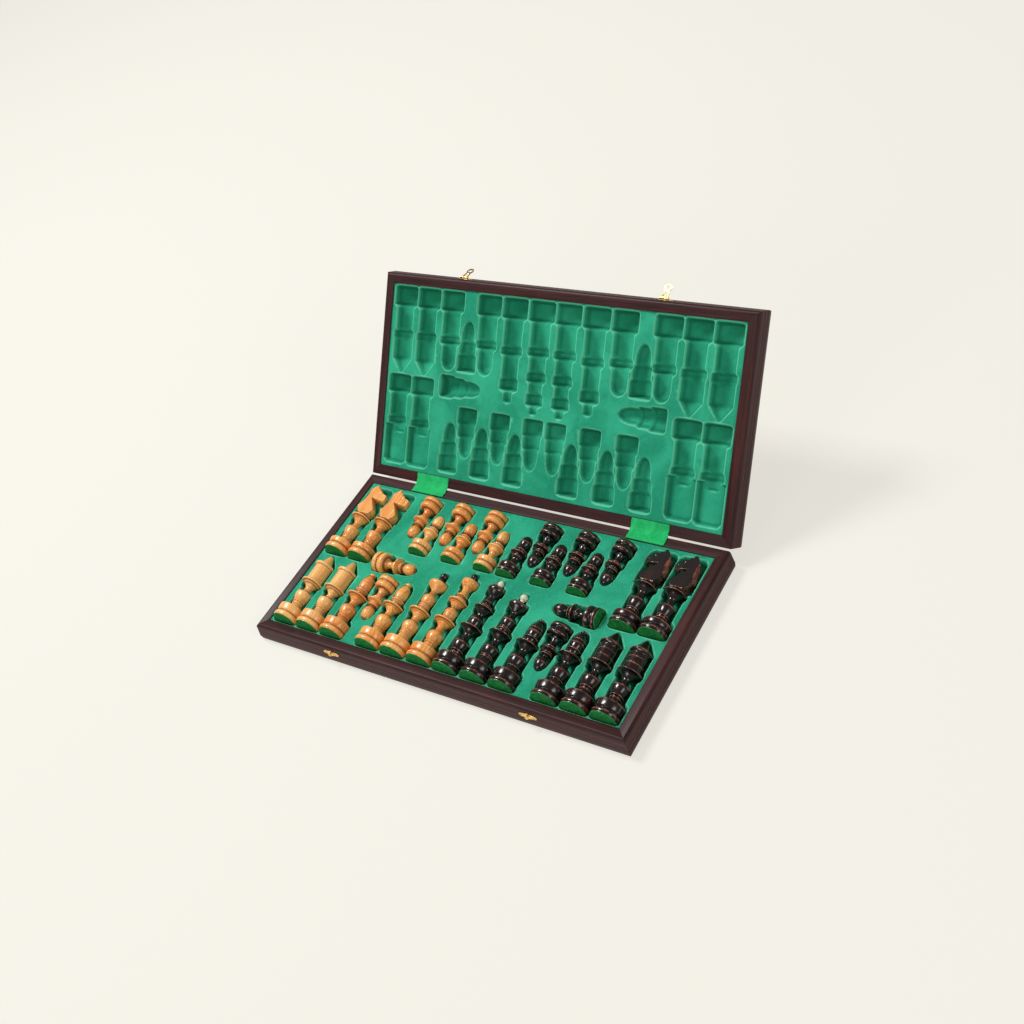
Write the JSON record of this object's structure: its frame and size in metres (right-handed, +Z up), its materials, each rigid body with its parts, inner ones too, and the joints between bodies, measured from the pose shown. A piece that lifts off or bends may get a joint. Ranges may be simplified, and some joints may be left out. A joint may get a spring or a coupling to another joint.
{
  "type": "chess box with fitted trays",
  "caption": "Folding wooden chess box, stored open, with hinged halves, latches, formed green trays and turned chessmen that lift out of their hollows.",
  "frame": {"origin": "centre of the lower half's underside, between the outer faces of its rim", "axes": "+Z up, +X along the hinge edge towards the dark men, +Y from the latch edge to the hinge edge"},
  "size_m": [0.584, 0.5167, 0.2515],
  "materials": {
    "frame_wood": "satin",
    "board_wood": "satin",
    "square_dark": "satin",
    "square_light": "satin",
    "flock": "matte",
    "felt": "matte",
    "brass": "polished",
    "light_men": "satin",
    "dark_men": "gloss",
    "ivory_tips": "satin"
  },
  "bodies": {
    "base": {"base_frame": "frame_wood", "base_board": "board_wood", "base_dark_squares": "square_dark", "base_light_squares": "square_light", "base_tray": "flock", "hinge_base_leaves": "brass", "hinge_pins": "brass", "hinge_base_screws": "brass", "felt_band_left": "felt", "felt_band_right": "felt", "catch_plates": "brass", "catch_nails": "brass"},
    "lid": {"lid_frame": "frame_wood", "lid_board": "board_wood", "lid_dark_squares": "square_dark", "lid_light_squares": "square_light", "lid_tray": "flock", "hinge_lid_leaves": "brass", "hinge_lid_screws": "brass", "hasp_plates": "brass", "hasp_nails": "brass"},
    "hasp_left": {"hasp_left": "brass"},
    "hasp_right": {"hasp_right": "brass"},
    "light_king": {"light_king": "light_men", "light_king_finial": "dark_men"},
    "light_queen": {"light_queen": "light_men", "light_queen_finial": "dark_men"},
    "light_bishop_1": {"light_bishop_1": "light_men"},
    "light_bishop_2": {"light_bishop_2": "light_men"},
    "light_knight_1": {"light_knight_1": "light_men"},
    "light_knight_2": {"light_knight_2": "light_men"},
    "light_rook_1": {"light_rook_1": "light_men"},
    "light_rook_2": {"light_rook_2": "light_men"},
    "light_pawn_1": {"light_pawn_1": "light_men"},
    "light_pawn_2": {"light_pawn_2": "light_men"},
    "light_pawn_3": {"light_pawn_3": "light_men"},
    "light_pawn_4": {"light_pawn_4": "light_men"},
    "light_pawn_5": {"light_pawn_5": "light_men"},
    "light_pawn_6": {"light_pawn_6": "light_men"},
    "light_pawn_7": {"light_pawn_7": "light_men"},
    "light_pawn_8": {"light_pawn_8": "light_men"},
    "dark_king": {"dark_king": "dark_men", "dark_king_finial": "ivory_tips"},
    "dark_queen": {"dark_queen": "dark_men", "dark_queen_finial": "ivory_tips"},
    "dark_bishop_1": {"dark_bishop_1": "dark_men"},
    "dark_bishop_2": {"dark_bishop_2": "dark_men"},
    "dark_knight_1": {"dark_knight_1": "dark_men"},
    "dark_knight_2": {"dark_knight_2": "dark_men"},
    "dark_rook_1": {"dark_rook_1": "dark_men"},
    "dark_rook_2": {"dark_rook_2": "dark_men"},
    "dark_pawn_1": {"dark_pawn_1": "dark_men"},
    "dark_pawn_2": {"dark_pawn_2": "dark_men"},
    "dark_pawn_3": {"dark_pawn_3": "dark_men"},
    "dark_pawn_4": {"dark_pawn_4": "dark_men"},
    "dark_pawn_5": {"dark_pawn_5": "dark_men"},
    "dark_pawn_6": {"dark_pawn_6": "dark_men"},
    "dark_pawn_7": {"dark_pawn_7": "dark_men"},
    "dark_pawn_8": {"dark_pawn_8": "dark_men"}
  },
  "joints": [
    {"name": "lid_hinge", "type": "hinge", "parent": "base", "child": "lid", "pos_m": [0, 0.1462, 0.0282], "axis": [-1, 0, 0], "range_deg": [-131.5, 48.5], "deforming": ["felt_band_left", "felt_band_right"]},
    {"name": "hasp_left_swing", "type": "hinge", "parent": "lid", "child": "hasp_left", "pos_m": [-0.156, 0.34562, 0.24485], "axis": [-1, 0, 0], "range_deg": [-144, 11]},
    {"name": "hasp_right_swing", "type": "hinge", "parent": "lid", "child": "hasp_right", "pos_m": [0.156, 0.34562, 0.24485], "axis": [-1, 0, 0], "range_deg": [-120, 35]},
    {"name": "light_king_lift", "type": "slide", "parent": "base", "child": "light_king", "axis": [0, 0, 1], "range_m": [0, 0.06]},
    {"name": "light_queen_lift", "type": "slide", "parent": "base", "child": "light_queen", "axis": [0, 0, 1], "range_m": [0, 0.06]},
    {"name": "light_bishop_1_lift", "type": "slide", "parent": "base", "child": "light_bishop_1", "axis": [0, 0, 1], "range_m": [0, 0.06]},
    {"name": "light_bishop_2_lift", "type": "slide", "parent": "base", "child": "light_bishop_2", "axis": [0, 0, 1], "range_m": [0, 0.06]},
    {"name": "light_knight_1_lift", "type": "slide", "parent": "base", "child": "light_knight_1", "axis": [0, 0, 1], "range_m": [0, 0.06]},
    {"name": "light_knight_2_lift", "type": "slide", "parent": "base", "child": "light_knight_2", "axis": [0, 0, 1], "range_m": [0, 0.06]},
    {"name": "light_rook_1_lift", "type": "slide", "parent": "base", "child": "light_rook_1", "axis": [0, 0, 1], "range_m": [0, 0.06]},
    {"name": "light_rook_2_lift", "type": "slide", "parent": "base", "child": "light_rook_2", "axis": [0, 0, 1], "range_m": [0, 0.06]},
    {"name": "light_pawn_1_lift", "type": "slide", "parent": "base", "child": "light_pawn_1", "axis": [0, 0, 1], "range_m": [0, 0.06]},
    {"name": "light_pawn_2_lift", "type": "slide", "parent": "base", "child": "light_pawn_2", "axis": [0, 0, 1], "range_m": [0, 0.06]},
    {"name": "light_pawn_3_lift", "type": "slide", "parent": "base", "child": "light_pawn_3", "axis": [0, 0, 1], "range_m": [0, 0.06]},
    {"name": "light_pawn_4_lift", "type": "slide", "parent": "base", "child": "light_pawn_4", "axis": [0, 0, 1], "range_m": [0, 0.06]},
    {"name": "light_pawn_5_lift", "type": "slide", "parent": "base", "child": "light_pawn_5", "axis": [0, 0, 1], "range_m": [0, 0.06]},
    {"name": "light_pawn_6_lift", "type": "slide", "parent": "base", "child": "light_pawn_6", "axis": [0, 0, 1], "range_m": [0, 0.06]},
    {"name": "light_pawn_7_lift", "type": "slide", "parent": "base", "child": "light_pawn_7", "axis": [0, 0, 1], "range_m": [0, 0.06]},
    {"name": "light_pawn_8_lift", "type": "slide", "parent": "base", "child": "light_pawn_8", "axis": [0, 0, 1], "range_m": [0, 0.06]},
    {"name": "dark_king_lift", "type": "slide", "parent": "base", "child": "dark_king", "axis": [0, 0, 1], "range_m": [0, 0.06]},
    {"name": "dark_queen_lift", "type": "slide", "parent": "base", "child": "dark_queen", "axis": [0, 0, 1], "range_m": [0, 0.06]},
    {"name": "dark_bishop_1_lift", "type": "slide", "parent": "base", "child": "dark_bishop_1", "axis": [0, 0, 1], "range_m": [0, 0.06]},
    {"name": "dark_bishop_2_lift", "type": "slide", "parent": "base", "child": "dark_bishop_2", "axis": [0, 0, 1], "range_m": [0, 0.06]},
    {"name": "dark_knight_1_lift", "type": "slide", "parent": "base", "child": "dark_knight_1", "axis": [0, 0, 1], "range_m": [0, 0.06]},
    {"name": "dark_knight_2_lift", "type": "slide", "parent": "base", "child": "dark_knight_2", "axis": [0, 0, 1], "range_m": [0, 0.06]},
    {"name": "dark_rook_1_lift", "type": "slide", "parent": "base", "child": "dark_rook_1", "axis": [0, 0, 1], "range_m": [0, 0.06]},
    {"name": "dark_rook_2_lift", "type": "slide", "parent": "base", "child": "dark_rook_2", "axis": [0, 0, 1], "range_m": [0, 0.06]},
    {"name": "dark_pawn_1_lift", "type": "slide", "parent": "base", "child": "dark_pawn_1", "axis": [0, 0, 1], "range_m": [0, 0.06]},
    {"name": "dark_pawn_2_lift", "type": "slide", "parent": "base", "child": "dark_pawn_2", "axis": [0, 0, 1], "range_m": [0, 0.06]},
    {"name": "dark_pawn_3_lift", "type": "slide", "parent": "base", "child": "dark_pawn_3", "axis": [0, 0, 1], "range_m": [0, 0.06]},
    {"name": "dark_pawn_4_lift", "type": "slide", "parent": "base", "child": "dark_pawn_4", "axis": [0, 0, 1], "range_m": [0, 0.06]},
    {"name": "dark_pawn_5_lift", "type": "slide", "parent": "base", "child": "dark_pawn_5", "axis": [0, 0, 1], "range_m": [0, 0.06]},
    {"name": "dark_pawn_6_lift", "type": "slide", "parent": "base", "child": "dark_pawn_6", "axis": [0, 0, 1], "range_m": [0, 0.06]},
    {"name": "dark_pawn_7_lift", "type": "slide", "parent": "base", "child": "dark_pawn_7", "axis": [0, 0, 1], "range_m": [0, 0.06]},
    {"name": "dark_pawn_8_lift", "type": "slide", "parent": "base", "child": "dark_pawn_8", "axis": [0, 0, 1], "range_m": [0, 0.06]}
  ]
}
